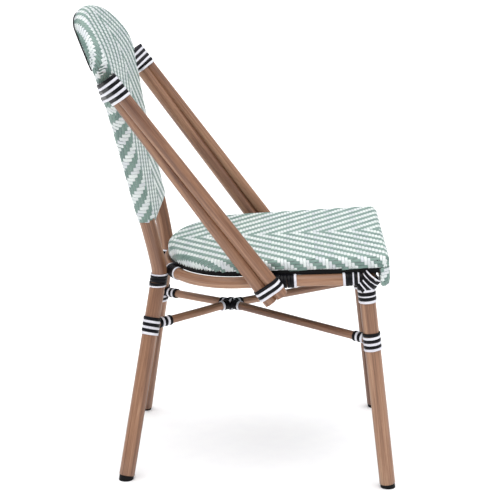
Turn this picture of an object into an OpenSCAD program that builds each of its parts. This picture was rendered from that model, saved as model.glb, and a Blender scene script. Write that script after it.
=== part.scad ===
// Stacking bistro chair: bent tube back hoop, paired side stays, crossed stretchers,
// woven seat and back, and cord lashings over the tube joints.
// Millimetres, +Z up. The chair faces -Y, +X is the sitter's left.
// The origin is on the floor, under the middle of the chair.

/* [Tubes] */
// Diameter of the hoop and front leg tubes
main_d = 30; // [28:0.5:31]
// Diameter of the seat rail tube
rail_d = 22; // [20:0.5:22]
// Diameter of each stay tube
stay_d = 25; // [22:0.5:25]
// Diameter of the stretcher tubes
stretcher_d = 16; // [14:0.5:18]
// Wall thickness of every tube
wall = 1.5; // [1:0.1:2]

/* [Footprint] */
// Half the distance between the rear feet
rear_foot_x = 200; // [190:1:210]
// Rear feet behind the origin
rear_foot_y = 210; // [206:1:216]
// Half the distance between the front feet
front_foot_x = 227; // [222:1:232]
// Front feet ahead of the origin
front_foot_y = 296; // [290:1:300]

/* [Seat] */
// Half width of the woven seat at its back
seat_half_rear = 211; // [209:1:213]
// Half width of the woven seat at its front
seat_half_front = 229; // [227:1:231]
// Front edge of the woven seat ahead of the origin
seat_front_y = 293; // [290:1:295]
// Back edge of the woven seat behind the origin
seat_back_y = 136; // [132:1:137]
// Height of the seat rail's axis under the seat's middle
rail_z = 400; // [397:1:403]
// Backward slope of the seat in degrees
seat_tilt = 3; // [2.5:0.1:3.2]
// Thickness of the woven skin
weave_t = 3; // [2:0.5:3]

/* [Back] */
// Height of the back panel's lower edge
panel_low_z = 500; // [490:1:510]
// Thickness of the weave round the hoop
wrap_t = 2; // [1.5:0.1:2.2]

/* [Lashings] */
// Thickness of the cord lashings
cord_t = 3; // [2:0.1:3.2]
// Height of the stretcher lashings on the legs
stretcher_z = 290; // [285:1:295]

/* [Hidden] */

wood = [0.66, 0.48, 0.38];
mint = [0.60, 0.76, 0.68];
black = [0.09, 0.09, 0.10];
steel = [0.62, 0.62, 0.64];

main_r = main_d / 2;
rail_r = rail_d / 2;
stay_r = stay_d / 2;
stretcher_r = stretcher_d / 2;
// Running gap that keeps neighbouring pieces from overlapping
gap = 0.15;

// Left half of the hoop's axis, from the foot up to the crown
foot_rear = [rear_foot_x, rear_foot_y, 0];
hoop_half = [
    foot_rear, [107, 152, 362], [101, 148, 390], [106, 153, 425], [117, 165, 482],
    [126, 179, 540], [134, 193, 600], [142, 207, 660], [158, 218, 710], [184, 228, 755],
    [203, 237, 792], [198, 250, 822], [168, 267, 848], [110, 283, 868], [0, 291, 877]
];
hoop_steps = 2;

foot_front = [front_foot_x, -front_foot_y, 0];
leg_top = [219, -247, 400];

// Seat parts are drawn level and then tilted about this point
seat_pivot = [0, -19, rail_z];
frame_low = rail_r;
frame_h = 27;
weave_low = frame_low + 10;
weave_high = frame_low + frame_h + weave_t + gap;
frame_w = 24;
frame_wall = 3;
// Rounding of the seat's upper edge
edge_r = 10;
// The apron hangs from the seat's front edge and ends in a round bar
apron_r = 10.15;
apron_z = -8;
seat_mid_y = -15;
seat_corner_r = 22;
rail_front_y = 257;
rail_half_rear = 212;
rail_half_front = 222;
rail_back_y = 138;
rail_corner_r = 28;
rail_joint = 0.5;
screw_rows = [-194, -44];
crossbar_rows = [-154, -24];
crossbar_w = 25;
crossbar_h = 20;

// Stay ends: upper end beside the hoop, lower end below the rail
stay_rear_top = [231, 232, 778];
stay_rear_low = [235, -71, 367];
stay_front_top = [251, 221, 786];
stay_front_low = [238, -91, 382];

stretcher_mid = [0, 12, 299];

// ---- helpers ----

// Radius at which a faceted round clears a true radius r
function clear(r, sides) = (r + gap) / cos(180 / sides);
function mirrored(p) = [-p[0], p[1], p[2]];
function unit(v) = v / norm(v);
function mix(a, b, t) = a + (b - a) * t;
// Smooth curve through four neighbouring points, between the middle two
function curve_at(a, b, c, d, t) =
    0.5 * (2 * b + (c - a) * t + (2 * a - 5 * b + 4 * c - d) * t * t
    + (3 * b - a - 3 * c + d) * t * t * t);
function smooth(pts, steps) = let(
    n = len(pts),
    q = concat([2 * pts[0] - pts[1]], pts, [2 * pts[n - 1] - pts[n - 2]])
) concat(
    [for (i = [1 : n - 1]) for (k = [0 : steps - 1])
        curve_at(q[i - 1], q[i], q[i + 1], q[i + 2], k / steps)],
    [pts[n - 1]]
);
function tangent(path, i) = unit(path[min(i + 1, len(path) - 1)] - path[max(i - 1, 0)]);

// One ring of points round a path point; ref is never parallel to the path
function ring(p, t, ref, r, sides) = let(u = unit(cross(t, ref)), v = cross(u, t))
    [for (k = [0 : sides - 1]) p + r * (cos(360 * k / sides) * u + sin(360 * k / sides) * v)];

// Hollow tube swept along a path
module swept_tube(path, ref, r_out, r_in, sides = 16) {
    n = len(path);
    points = [for (i = [0 : n - 1]) each concat(
        ring(path[i], tangent(path, i), ref, r_out, sides),
        ring(path[i], tangent(path, i), ref, r_in, sides))];
    row = 2 * sides;
    outer = [for (i = [0 : n - 2]) for (k = [0 : sides - 1]) let(m = (k + 1) % sides)
        [i * row + k, i * row + m, (i + 1) * row + m, (i + 1) * row + k]];
    inner = [for (i = [0 : n - 2]) for (k = [0 : sides - 1]) let(m = (k + 1) % sides, s = sides)
        [i * row + s + m, i * row + s + k, (i + 1) * row + s + k, (i + 1) * row + s + m]];
    ends = [for (k = [0 : sides - 1]) let(m = (k + 1) % sides, e = (n - 1) * row) each [
        [m, k, k + sides, m + sides],
        [e + k, e + m, e + m + sides, e + k + sides]]];
    polyhedron(points = points, faces = concat(outer, inner, ends), convexity = 8);
}

// Closed solid through a list of rings, all with the same number of points
module stacked(rings) {
    n = len(rings);
    sides = len(rings[0]);
    walls = [for (i = [0 : n - 2]) for (k = [0 : sides - 1]) let(m = (k + 1) % sides)
        [i * sides + k, i * sides + m, (i + 1) * sides + m, (i + 1) * sides + k]];
    first = [for (k = [sides - 1 : -1 : 0]) k];
    last = [for (k = [0 : sides - 1]) (n - 1) * sides + k];
    polyhedron(points = [for (r = rings) each r], faces = concat(walls, [first, last]), convexity = 8);
}

// Solid rod swept along a path
module swept_rod(path, ref, r, sides = 14) {
    stacked([for (i = [0 : len(path) - 1]) ring(path[i], tangent(path, i), ref, r, sides)]);
}

// Puts children at a, with +Z pointing at b
module aim(a, b) {
    d = b - a;
    translate(a) rotate([0, acos(d[2] / norm(d)), atan2(d[1], d[0])]) children();
}

module rod(a, b, r) {
    aim(a, b) cylinder(r = r, h = norm(b - a), $fn = 48);
}

module pipe(a, b, r) {
    difference() {
        rod(a, b, r);
        rod(a - unit(b - a), b + unit(b - a), r - wall);
    }
}

// Pair of tubes inside one oval outline, used by the stay lashings
module pair_outline(a0, a1, b0, b1, r) {
    hull() {
        rod(a0, a1, r);
        rod(b0, b1, r);
    }
}

module side(s) {
    scale([s, 1, 1]) children();
}

module seat_place() {
    translate(seat_pivot) rotate([-seat_tilt, 0, 0]) translate([0, -seat_pivot[1], 0]) children();
}

// D outline: half ellipse at the back, straight sides, round front corners
function d_outline(rear_x, front_x, mid_y, back, front, corner, steps) = concat(
    [for (k = [0 : steps]) let(a = 180 * k / steps) [rear_x * cos(a), mid_y + (back - mid_y) * sin(a)]],
    [for (k = [0 : 6]) let(a = 180 + 15 * k)
        [-front_x + corner + corner * cos(a), -front + corner + corner * sin(a)]],
    [for (k = [0 : 6]) let(a = 270 + 15 * k)
        [front_x - corner + corner * cos(a), -front + corner + corner * sin(a)]]
);

function seat_outline(inset) = d_outline(
    seat_half_rear - inset, seat_half_front - inset, seat_mid_y,
    seat_back_y - inset, seat_front_y - inset, max(seat_corner_r - inset, 4), 36);

// Rail axis in the seat's plane, starting and ending at the joint behind the seat
function rail_path() = let(
    d = d_outline(rail_half_rear, rail_half_front, seat_mid_y, rail_back_y,
        rail_front_y, rail_corner_r, 28),
    n = len(d), half = 14, e = rail_joint / 2
) concat(
    [[-e, d[half][1], 0]],
    [for (k = [1 : n - 1]) let(p = d[(half + k) % n]) [p[0], p[1], 0]],
    [[e, d[half][1], 0]]
);

function seat_point(p) = let(
    y = p[1] - seat_pivot[1], c = cos(seat_tilt), s = sin(seat_tilt)
) [p[0], seat_pivot[1] + y * c + p[2] * s, rail_z - y * s + p[2] * c];

// Where the front leg's axis is at height z, and the rear leg's
function front_leg_at(z) = mix(foot_front, leg_top, z / leg_top[2]);
function rear_leg_at(z) = mix(foot_rear, hoop_half[1], z / hoop_half[1][2]);

hoop_full = concat(hoop_half, [for (k = [len(hoop_half) - 2 : -1 : 0]) mirrored(hoop_half[k])]);
// The straight rear legs need no points between foot and knee
hoop_curve = smooth([for (k = [1 : len(hoop_full) - 2]) hoop_full[k]], hoop_steps);
foot_h = 8;

function raised(p, q, h) = p + unit(q - p) * h;
hoop_start = raised(foot_rear, hoop_half[1], foot_h);
hoop_path = concat([hoop_start], hoop_curve, [mirrored(hoop_start)]);
// Point of the hoop's left half at height z
function hoop_at(z) = [for (k = [0 : len(hoop_curve) / 2]) let(a = hoop_curve[k], b = hoop_curve[k + 1])
    if (a[2] <= z && b[2] > z) mix(a, b, (z - a[2]) / (b[2] - a[2]))][0];
panel_start = hoop_at(panel_low_z);
panel_path = concat([panel_start], [for (p = hoop_curve) if (p[2] > panel_low_z + 4) p],
    [mirrored(panel_start)]);
// Stretches of the hoop's left shoulder: under the lashing, and a little past it
upper_path = [for (p = hoop_curve) if (p[0] > 0 && p[2] > 764 && p[2] < 808) p];
upper_tunnel = [for (p = hoop_curve) if (p[0] > 0 && p[2] > 735 && p[2] < 840) p];
binding_r = 1.3;
binding_path = [for (p = hoop_curve) if (p[2] > 800) p];

// ---- tubes ----

module back_hoop() {
    color(wood) swept_tube(hoop_path, [0, 1, 0], main_r, main_r - wall, 18);
}

module front_leg(s) {
    start = raised(foot_front, leg_top, foot_h);
    color(wood) side(s) difference() {
        pipe(start, mix(foot_front, leg_top, 1.03), main_r);
        seat_place() rail_corner_clearance(rail_r + gap);
    }
}

// The bend of the rail over a front leg, and the straight behind it
module rail_corner_clearance(r) {
    cx = rail_half_front - rail_corner_r;
    cy = -rail_front_y + rail_corner_r;
    translate([cx, cy, 0]) rotate_extrude($fn = 64) translate([rail_corner_r, 0]) circle(r = r, $fn = 40);
    rod([rail_half_front, cy, 0], [rail_half_rear, seat_mid_y, 0], r);
}

module seat_rail() {
    color(wood) seat_place() swept_tube(rail_path(), [0, 0, 1], rail_r, rail_r - wall, 14);
}

// Sleeve inside the rail, where its two ends meet
module rail_sleeve() {
    r = (rail_r - wall) * cos(180 / 14) - 0.4;
    y = rail_back_y;
    color(steel) seat_place() difference() {
        rod([-14, y, 0], [14, y, 0], r);
        rod([-15, y, 0], [15, y, 0], r - 2);
    }
}

module stay(low, top) {
    color(wood) pipe(low, top, stay_r);
}

// Flush plugs that close both ends of each stay
module stay_plugs() {
    plug_h = 6;
    for (s = [1, -1])
        for (e = [[stay_front_low, stay_front_top], [stay_rear_low, stay_rear_top]])
            for (f = [[e[0], e[1]], [e[1], e[0]]])
                color(wood) side(s) rod(f[0], raised(f[0], f[1], plug_h), stay_r - wall - gap);
}

// ---- stretchers ----

// One arm's axis, from the surface of the leg to the crossing
function arm_start(leg, axis_r) = raised(leg, stretcher_mid, axis_r + gap);

module stretcher_through() {
    a = mirrored(rear_leg_at(stretcher_z));
    b = front_leg_at(stretcher_z + 2);
    path = smooth([arm_start(a, main_r), mix(a, stretcher_mid, 0.6), stretcher_mid,
        mix(b, stretcher_mid, 0.6), arm_start(b, main_r)], 3);
    color(wood) swept_tube(path, [0, 0, 1], stretcher_r, stretcher_r - wall, 14);
}

module stretcher_half(s, leg) {
    color(wood) side(s)
        pipe(arm_start(leg, main_r), raised(stretcher_mid, leg, stretcher_r + 1.8), stretcher_r);
}

// ---- seat ----

module seat_slab(inset, low, high) {
    translate([0, 0, low]) linear_extrude(height = high - low) polygon(seat_outline(inset));
}

// Slab with a rounded upper edge
module rounded_slab(inset, low, high) {
    stacked(concat(
        [raised_outline(inset, low)],
        [for (a = [0 : 30 : 90])
            raised_outline(inset + edge_r * (1 - cos(a)), high - edge_r * (1 - sin(a)))]));
}

function raised_outline(inset, z) = let(o = seat_outline(inset))
    [for (k = [len(o) - 1 : -1 : 0]) [o[k][0], o[k][1], z]];

// Apron below the front edge, round along its bottom
module apron(inset) {
    r = apron_r - inset;
    y = -seat_front_y + apron_r;
    intersection() {
        seat_slab(inset, apron_z - apron_r, weave_low + 4);
        union() {
            translate([-seat_half_front, y, apron_z])
                rotate([0, 90, 0]) cylinder(r = r, h = 2 * seat_half_front, $fn = 48);
            translate([-seat_half_front, y - r, apron_z])
                cube([2 * seat_half_front, 2 * r, weave_low + 4 - apron_z]);
        }
    }
}

// Rolled ring that the weave is stretched over, with a tube and a web for the apron
module seat_frame() {
    edge = weave_t + gap;
    half = seat_half_front - seat_corner_r;
    y = -seat_front_y + apron_r;
    color(black) seat_place() difference() {
        union() {
            difference() {
                rounded_slab(edge, frame_low, frame_low + frame_h);
                rounded_slab(edge + frame_wall, frame_low + frame_wall, frame_low + frame_h - frame_wall);
                seat_slab(edge + frame_w, frame_low - 1, frame_low + frame_h + 1);
            }
            pipe([-half, y, apron_z], [half, y, apron_z], apron_r - edge);
            translate([-half, y - 4.5, apron_z + 5]) cube([2 * half, frame_wall, frame_low - apron_z - 4]);
        }
        for (s = [1, -1])
            for (y = screw_rows)
                translate([s * screw_x(y), y, frame_low - 1]) cylinder(r = 3, h = 16, $fn = 32);
    }
}

function screw_x(y) =
    mix(rail_half_rear, rail_half_front, (seat_mid_y - y) / (rail_front_y + seat_mid_y)) - 19;

// Tabs welded inside the rail, which carry the seat frame
module seat_tabs() {
    color(wood) seat_place()
        for (s = [1, -1])
            for (y = screw_rows)
                translate([s * screw_x(y), y, frame_low - 3]) difference() {
                    translate([-8, -14, 0]) cube([16, 28, 3 - gap]);
                    translate([0, 0, -1]) cylinder(r = 3.2, h = 6, $fn = 32);
                }
}

// Pan head screws, up through the tabs into the seat frame
module seat_screws() {
    color(steel) seat_place()
        for (s = [1, -1])
            for (y = screw_rows)
                translate([s * screw_x(y), y, frame_low - 3]) {
                    translate([0, 0, -3.2 - gap]) cylinder(r = 5.5, h = 3.2, $fn = 32);
                    translate([0, 0, -gap - 0.5]) cylinder(r = 2.9, h = 16, $fn = 32);
                }
}

// Rectangular tube across the seat frame, standing on its lower flange
module seat_crossbar(y) {
    wall_x = mix(seat_half_rear, seat_half_front, (seat_mid_y - y) / (seat_front_y + seat_mid_y));
    half = wall_x - weave_t - frame_wall - 9;
    low = frame_low + frame_wall + gap;
    color(black) seat_place() difference() {
        translate([-half, y - crossbar_w / 2, low]) cube([2 * half, crossbar_w, crossbar_h]);
        translate([-half - 1, y - crossbar_w / 2 + wall, low + wall])
            cube([2 * half + 2, crossbar_w - 2 * wall, crossbar_h - 2 * wall]);
    }
}

// Woven skin over the seat frame and round the apron
module seat_weave() {
    color(mint) seat_place() difference() {
        union() {
            rounded_slab(0, weave_low, weave_high);
            apron(0);
        }
        rounded_slab(weave_t, weave_low - 1, weave_high - weave_t);
        apron(weave_t);
        translate([-seat_half_front, -seat_front_y + 2 * apron_r, apron_z - apron_r])
            cube([2 * seat_half_front, 60, weave_low - apron_z + apron_r]);
    }
}

// ---- back ----

// Tube inside the panel's lower edge
module back_crossbar() {
    z = panel_low_z + 13;
    p = hoop_at(z);
    x = p[0] - main_r - wrap_t - 2 * gap;
    color(wood) pipe([-x, p[1] - 3.6, z], [x, p[1] - 3.6, z], 8);
}

// Woven skin across the hoop's front, wrapped round the hoop tube
module back_weave() {
    n = len(panel_path);
    tunnel = concat([extended(panel_path[0], panel_path[1])], panel_path,
        [extended(panel_path[n - 1], panel_path[n - 2])]);
    color(mint) difference() {
        union() {
            swept_rod(panel_path, [0, 1, 0], main_r + wrap_t, 16);
            panel_sheet([for (k = [0 : (n - 3) / 2]) k], main_r - 1);
        }
        swept_rod(tunnel, [0, 1, 0], clear(main_r, 16), 16);
    }
}

function extended(p, q) = p - unit(q - p) * 8;

// Sheet of level rows from side to side, ahead of the hoop's axis
module panel_sheet(rows, forward) {
    half = wrap_t;
    points = [for (k = rows) let(
        t = tangent(panel_path, k), f = unit([0, -t[2], t[1]]), p = panel_path[k] + 1.5 * t
    ) each [
        p + (forward + half) * f, mirrored(p) + (forward + half) * f,
        mirrored(p) + (forward - half) * f, p + (forward - half) * f]];
    walls = [for (i = [0 : len(rows) - 2]) for (k = [0 : 3]) let(m = (k + 1) % 4)
        [4 * i + k, 4 * i + m, 4 * (i + 1) + m, 4 * (i + 1) + k]];
    e = 4 * (len(rows) - 1);
    polyhedron(points = points, faces = concat(walls, [[3, 2, 1, 0], [e, e + 1, e + 2, e + 3]]));
}

// Black edging laid along the back of the hoop's crown
module back_binding() {
    off = main_r + wrap_t + binding_r;
    n = len(binding_path);
    path = [for (i = [0 : n - 1]) let(t = tangent(binding_path, i), u = unit(cross(t, [0, 1, 0])),
        v = cross(u, t)) binding_path[i] + off * v];
    color(black) swept_rod(path, [0, 1, 0], binding_r, 6);
}

// ---- feet ----

// Cap on the end of a leg from p towards q, cut level at the floor, with a plug inside the tube
module foot(s, p, q) {
    t = unit(q - p);
    cap_r = main_r - 1;
    plug_r = main_r - wall - gap;
    shoulder = p + (foot_h - gap) * t;
    sole = [for (c = ring(p, t, [0, 1, 0], cap_r, 24)) c - t * c[2] / t[2]];
    color(black) side(s) stacked([
        sole,
        ring(shoulder, t, [0, 1, 0], cap_r, 24),
        ring(shoulder, t, [0, 1, 0], plug_r, 24),
        ring(p + (foot_h + 22) * t, t, [0, 1, 0], plug_r, 24)
    ]);
}

// ---- lashings ----

module upper_lashing(s) {
    t = unit(stay_rear_low - stay_rear_top);
    a0 = stay_rear_top + 2 * t;
    b0 = stay_front_top + 2 * t;
    color(black) side(s) difference() {
        union() {
            pair_outline(a0, a0 + 46 * t, b0, b0 + 46 * t, stay_r + cord_t);
            swept_rod(upper_path, [0, 1, 0], main_r + wrap_t + cord_t, 16);
        }
        swept_rod(upper_tunnel, [0, 1, 0], clear(main_r + wrap_t, 16), 16);
        for (e = [[stay_rear_top, stay_rear_low], [stay_front_top, stay_front_low]])
            rod(e[0] - 20 * t, e[1], stay_r + gap);
    }
}

module lower_lashing(s) {
    t = unit(stay_rear_low - stay_rear_top);
    a1 = stay_rear_low - 12 * t;
    b1 = stay_front_low - 12 * t;
    color(black) side(s) difference() {
        union() {
            pair_outline(a1 - 22 * t, a1, b1 - 22 * t, b1, stay_r + cord_t);
            rod(rail_side_at(-66), rail_side_at(-116), rail_r + cord_t);
        }
        under_frame();
        rod(rail_side_at(-44), rail_side_at(-144), rail_r + gap);
        rod(stay_rear_top, stay_rear_low + 5 * t, stay_r + gap);
        rod(stay_front_top, stay_front_low + 5 * t, stay_r + gap);
    }
}

// Point on the straight side of the rail
function rail_side_at(y) = seat_point([
    mix(rail_half_rear, rail_half_front, (seat_mid_y - y) / (rail_front_y - rail_corner_r + seat_mid_y)),
    y, 0]);

// Point on the rounded back of the rail
function rail_behind_at(x) = seat_point([
    x, seat_mid_y + (rail_back_y - seat_mid_y) * sqrt(1 - pow(x / rail_half_rear, 2)), 0]);

// Space that the seat frame and weave take above the rail
module under_frame() {
    seat_place() seat_slab(-1, frame_low - gap, frame_low + frame_h);
}

module rear_lashing(s) {
    low = mix(hoop_half[1], hoop_half[2], 0.55);
    high = mix(hoop_half[2], hoop_half[3], 0.25);
    rail = [for (x = [82 : 12 : 118]) rail_behind_at(x)];
    color(black) side(s) difference() {
        union() {
            rod(low, high, main_r + cord_t);
            swept_rod(rail, [0, 0, 1], rail_r + cord_t, 16);
        }
        under_frame();
        swept_rod([for (p = hoop_curve) if (p[0] > 0 && p[2] < 440) p], [0, 1, 0], clear(main_r, 24), 24);
        swept_rod([for (p = rail_path()) if (p[0] > 60 && p[0] < 180 && p[1] > 40) seat_point(p)],
            [0, 0, 1], clear(rail_r, 14), 14);
    }
}

module corner_lashing(s) {
    bend = [for (p = rail_path()) if (p[0] > 180 && p[1] < -204) seat_point(p)];
    start = seat_point([rail_half_front - 1, -202, 0]);
    color(black) side(s) difference() {
        union() {
            swept_rod(concat([start], [for (k = [len(bend) - 1 : -1 : 0]) bend[k]]),
                [0, 0, 1], rail_r + cord_t, 12);
            rod(front_leg_at(366), front_leg_at(402), main_r + cord_t);
        }
        under_frame();
        swept_rod(concat([seat_point([rail_half_front - 2, -184, 0])],
            [for (k = [len(bend) - 1 : -1 : 0]) bend[k]],
            [seat_point([rail_half_front - 60, -rail_front_y, 0])]), [0, 0, 1], clear(rail_r, 14), 14);
        rod(front_leg_at(300), front_leg_at(412), main_r + gap);
    }
}

// Band round a leg with a collar on the stretcher that meets it
module leg_lashing(s, low, high, leg) {
    collar_end = raised(leg, stretcher_mid, main_r + 22);
    color(black) side(s) difference() {
        union() {
            rod(low, high, main_r + cord_t);
            rod(leg, collar_end, stretcher_r + cord_t);
        }
        rod(mix(low, high, -1), mix(low, high, 2), main_r + gap);
        rod(leg, raised(leg, stretcher_mid, main_r + 40), stretcher_r + gap);
    }
}

module centre_lashing() {
    arms = [rear_leg_at(stretcher_z), mirrored(rear_leg_at(stretcher_z)),
        front_leg_at(stretcher_z + 2), mirrored(front_leg_at(stretcher_z + 2))];
    color(black) difference() {
        union() {
            for (p = arms)
                rod(stretcher_mid, raised(stretcher_mid, p, 24), stretcher_r + cord_t);
            translate(stretcher_mid) sphere(r = stretcher_r + cord_t + 1, $fn = 40);
        }
        for (p = arms)
            rod(stretcher_mid, raised(stretcher_mid, p, 40), stretcher_r + gap);
        translate(stretcher_mid) sphere(r = stretcher_r + 0.6, $fn = 40);
    }
}

back_hoop();
front_leg(1);  // front_leg_left
front_leg(-1);  // front_leg_right
seat_rail();
rail_sleeve();
seat_tabs();
seat_screws();
seat_frame();
seat_crossbar(crossbar_rows[0]);  // seat_crossbar_front
seat_crossbar(crossbar_rows[1]);  // seat_crossbar_rear
seat_weave();
back_crossbar();
back_weave();
back_binding();
stay(stay_front_low, stay_front_top);  // stay_left_front
stay(stay_rear_low, stay_rear_top);  // stay_left_rear
stay(mirrored(stay_front_low), mirrored(stay_front_top));  // stay_right_front
stay(mirrored(stay_rear_low), mirrored(stay_rear_top));  // stay_right_rear
stay_plugs();
stretcher_through();
stretcher_half(1, rear_leg_at(stretcher_z));  // stretcher_half_left
stretcher_half(-1, front_leg_at(stretcher_z + 2));  // stretcher_half_right
foot(1, foot_front, leg_top);  // foot_front_left
foot(-1, foot_front, leg_top);  // foot_front_right
foot(1, foot_rear, hoop_half[1]);  // foot_rear_left
foot(-1, foot_rear, hoop_half[1]);  // foot_rear_right
upper_lashing(1);  // upper_lashing_left
upper_lashing(-1);  // upper_lashing_right
lower_lashing(1);  // lower_lashing_left
lower_lashing(-1);  // lower_lashing_right
rear_lashing(1);  // rear_lashing_left
rear_lashing(-1);  // rear_lashing_right
corner_lashing(1);  // corner_lashing_left
corner_lashing(-1);  // corner_lashing_right
leg_lashing(1, front_leg_at(272), front_leg_at(309), front_leg_at(stretcher_z + 2));  // leg_lashing_front_left
leg_lashing(-1, front_leg_at(272), front_leg_at(309), front_leg_at(stretcher_z + 2));  // leg_lashing_front_right
leg_lashing(1, rear_leg_at(272), rear_leg_at(308), rear_leg_at(stretcher_z));  // leg_lashing_rear_left
leg_lashing(-1, rear_leg_at(272), rear_leg_at(308), rear_leg_at(stretcher_z));  // leg_lashing_rear_right
centre_lashing();
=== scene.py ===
"""Looks for a stacking bistro chair: printed wood tubes, a woven seat and back, wound lashings.

Lengths are in millimetres until a mesh is made, in the CAD's frame: the chair faces -Y and +X is
the sitter's left. Design values that set a shape are the same as in part.scad.
"""
import math

import bpy
import numpy as np
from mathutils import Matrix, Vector


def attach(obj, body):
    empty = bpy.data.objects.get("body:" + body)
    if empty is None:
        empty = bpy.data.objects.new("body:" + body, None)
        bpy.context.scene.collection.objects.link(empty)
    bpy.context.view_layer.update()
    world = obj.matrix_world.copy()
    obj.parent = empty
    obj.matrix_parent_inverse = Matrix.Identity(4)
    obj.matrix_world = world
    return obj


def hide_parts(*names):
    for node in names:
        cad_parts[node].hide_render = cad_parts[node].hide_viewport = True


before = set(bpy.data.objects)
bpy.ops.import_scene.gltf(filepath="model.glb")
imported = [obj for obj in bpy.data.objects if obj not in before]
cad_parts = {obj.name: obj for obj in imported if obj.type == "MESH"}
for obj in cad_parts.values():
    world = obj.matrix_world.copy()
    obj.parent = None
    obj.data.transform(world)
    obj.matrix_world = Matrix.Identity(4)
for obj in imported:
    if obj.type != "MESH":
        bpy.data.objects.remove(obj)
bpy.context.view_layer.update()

MM = 0.001
# For small differences between strands and between turns of cord
RNG = np.random.default_rng(7)

# ---- design values shared with part.scad ----

MAIN_R, RAIL_R, STAY_R, STRETCHER_R, WALL = 15.0, 11.0, 12.5, 8.0, 1.5
FOOT_H = 8.0
FOOT_REAR = np.array([200.0, 210.0, 0.0])
FOOT_FRONT = np.array([227.0, -296.0, 0.0])
LEG_TOP = np.array([219.0, -247.0, 400.0])
HOOP_HALF = np.array([
    FOOT_REAR, [107, 152, 362], [101, 148, 390], [106, 153, 425], [117, 165, 482],
    [126, 179, 540], [134, 193, 600], [142, 207, 660], [158, 218, 710], [184, 228, 755],
    [203, 237, 792], [198, 250, 822], [168, 267, 848], [110, 283, 868], [0, 291, 877],
], float)
SEAT_REAR_X, SEAT_FRONT_X, SEAT_FRONT_Y, SEAT_BACK_Y = 211.0, 229.0, 293.0, 136.0
SEAT_MID_Y, SEAT_CORNER_R = -15.0, 22.0
RAIL_Z, SEAT_TILT, SEAT_PIVOT_Y = 400.0, math.radians(3), -19.0
WEAVE_LOW, WEAVE_HIGH, EDGE_R = 21.0, 41.15, 10.0
APRON_R, APRON_Z = 10.15, -8.0
RAIL_REAR_X, RAIL_FRONT_X, RAIL_CORNER_R = 212.0, 222.0, 28.0
RAIL_FRONT_Y, RAIL_BACK_Y = 257.0, 138.0
PANEL_LOW_Z = 500.0
STAY_REAR = np.array([[235.0, -71, 367], [231, 232, 778]])
STAY_FRONT = np.array([[238.0, -91, 382], [251, 221, 786]])
CROSSING = np.array([0.0, 12, 299])
REAR_STRETCHER_Z, FRONT_STRETCHER_Z = 290.0, 292.0
MIRROR = np.array([-1.0, 1, 1])


# ---- curves ----

def unit(v):
    v = np.asarray(v, float)
    return v / np.maximum(np.linalg.norm(v, axis=-1, keepdims=True), 1e-12)


def mix(a, b, t):
    return a + (b - a) * t


def smooth(points, steps):
    """The same curve through the points as in part.scad, at a finer step."""
    p = np.asarray(points, float)
    q = np.vstack([2 * p[0] - p[1], p, 2 * p[-1] - p[-2]])
    t = np.linspace(0, 1, steps, endpoint=False)[:, None]
    rows = [
        0.5 * (2 * b + (c - a) * t + (2 * a - 5 * b + 4 * c - d) * t**2
               + (3 * b - a - 3 * c + d) * t**3)
        for a, b, c, d in zip(q, q[1:], q[2:], q[3:])
    ]
    return np.vstack(rows + [p[-1:]])


def tangents(path):
    return unit(np.gradient(path, axis=0))


def lengths(path):
    """Distance along the path at each point."""
    return np.concatenate([[0], np.cumsum(np.linalg.norm(np.diff(path, axis=0), axis=1))])


def resample(path, step):
    s = lengths(path)
    n = max(2, int(round(s[-1] / step)) + 1)
    t = np.linspace(0, s[-1], n)
    return np.stack([np.interp(t, s, path[:, k]) for k in range(path.shape[1])], 1)


def raised(p, q, h):
    """The point h along from p towards q."""
    return p + unit(q - p) * h


def seat_place(p):
    """From the level seat's coordinates to the tilted seat."""
    p = np.asarray(p, float)
    y, z = p[..., 1] - SEAT_PIVOT_Y, p[..., 2]
    c, s = math.cos(SEAT_TILT), math.sin(SEAT_TILT)
    return np.stack([p[..., 0], SEAT_PIVOT_Y + y * c + z * s, RAIL_Z - y * s + z * c], -1)


def seat_turn(n):
    """The same turn, for directions."""
    c, s = math.cos(SEAT_TILT), math.sin(SEAT_TILT)
    return np.stack([n[..., 0], n[..., 1] * c + n[..., 2] * s, -n[..., 1] * s + n[..., 2] * c], -1)


REAR_STEPS, CORNER_STEPS = 36, 6


def d_outline(rear_x, front_x, back, front, corner, fine):
    """Half ellipse at the back, straight sides, round front corners, anticlockwise from +X."""
    a = np.linspace(0, math.pi, REAR_STEPS * fine + 1)
    rear = np.stack([rear_x * np.cos(a), SEAT_MID_Y + (back - SEAT_MID_Y) * np.sin(a)], 1)
    parts = [rear]
    for cx, turn in ((-front_x + corner, math.pi), (front_x - corner, 1.5 * math.pi)):
        a = turn + np.linspace(0, math.pi / 2, CORNER_STEPS * fine + 1)
        parts.append(np.stack([cx + corner * np.cos(a), -front + corner + corner * np.sin(a)], 1))
    return np.vstack(parts)


def seat_outline(inset, fine):
    return d_outline(SEAT_REAR_X - inset, SEAT_FRONT_X - inset, SEAT_BACK_Y - inset,
                     SEAT_FRONT_Y - inset, max(SEAT_CORNER_R - inset, 4), fine)


# ---- meshes ----

def make_piece(name, verts, faces, materials, replaces, attributes, face_material):
    """A smooth-shaded mesh piece on the root body, from millimetres."""
    mesh = bpy.data.meshes.new(name)
    mesh.from_pydata((np.asarray(verts) * MM).tolist(), [], faces)
    for key, values in attributes.items():
        values = np.asarray(values, np.float32)
        kind = "FLOAT" if values.ndim == 1 else "FLOAT_VECTOR"
        layer = mesh.attributes.new(key, kind, "POINT")
        layer.data.foreach_set("value" if values.ndim == 1 else "vector", values.ravel())
    mesh.polygons.foreach_set("use_smooth", [True] * len(mesh.polygons))
    mesh.polygons.foreach_set("material_index", np.asarray(face_material, np.int32))
    mesh.validate()
    for m in materials:
        mesh.materials.append(m)
    piece = bpy.data.objects.new(name, mesh)
    bpy.context.scene.collection.objects.link(piece)
    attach(piece, "root")
    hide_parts(*replaces)
    return piece


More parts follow.
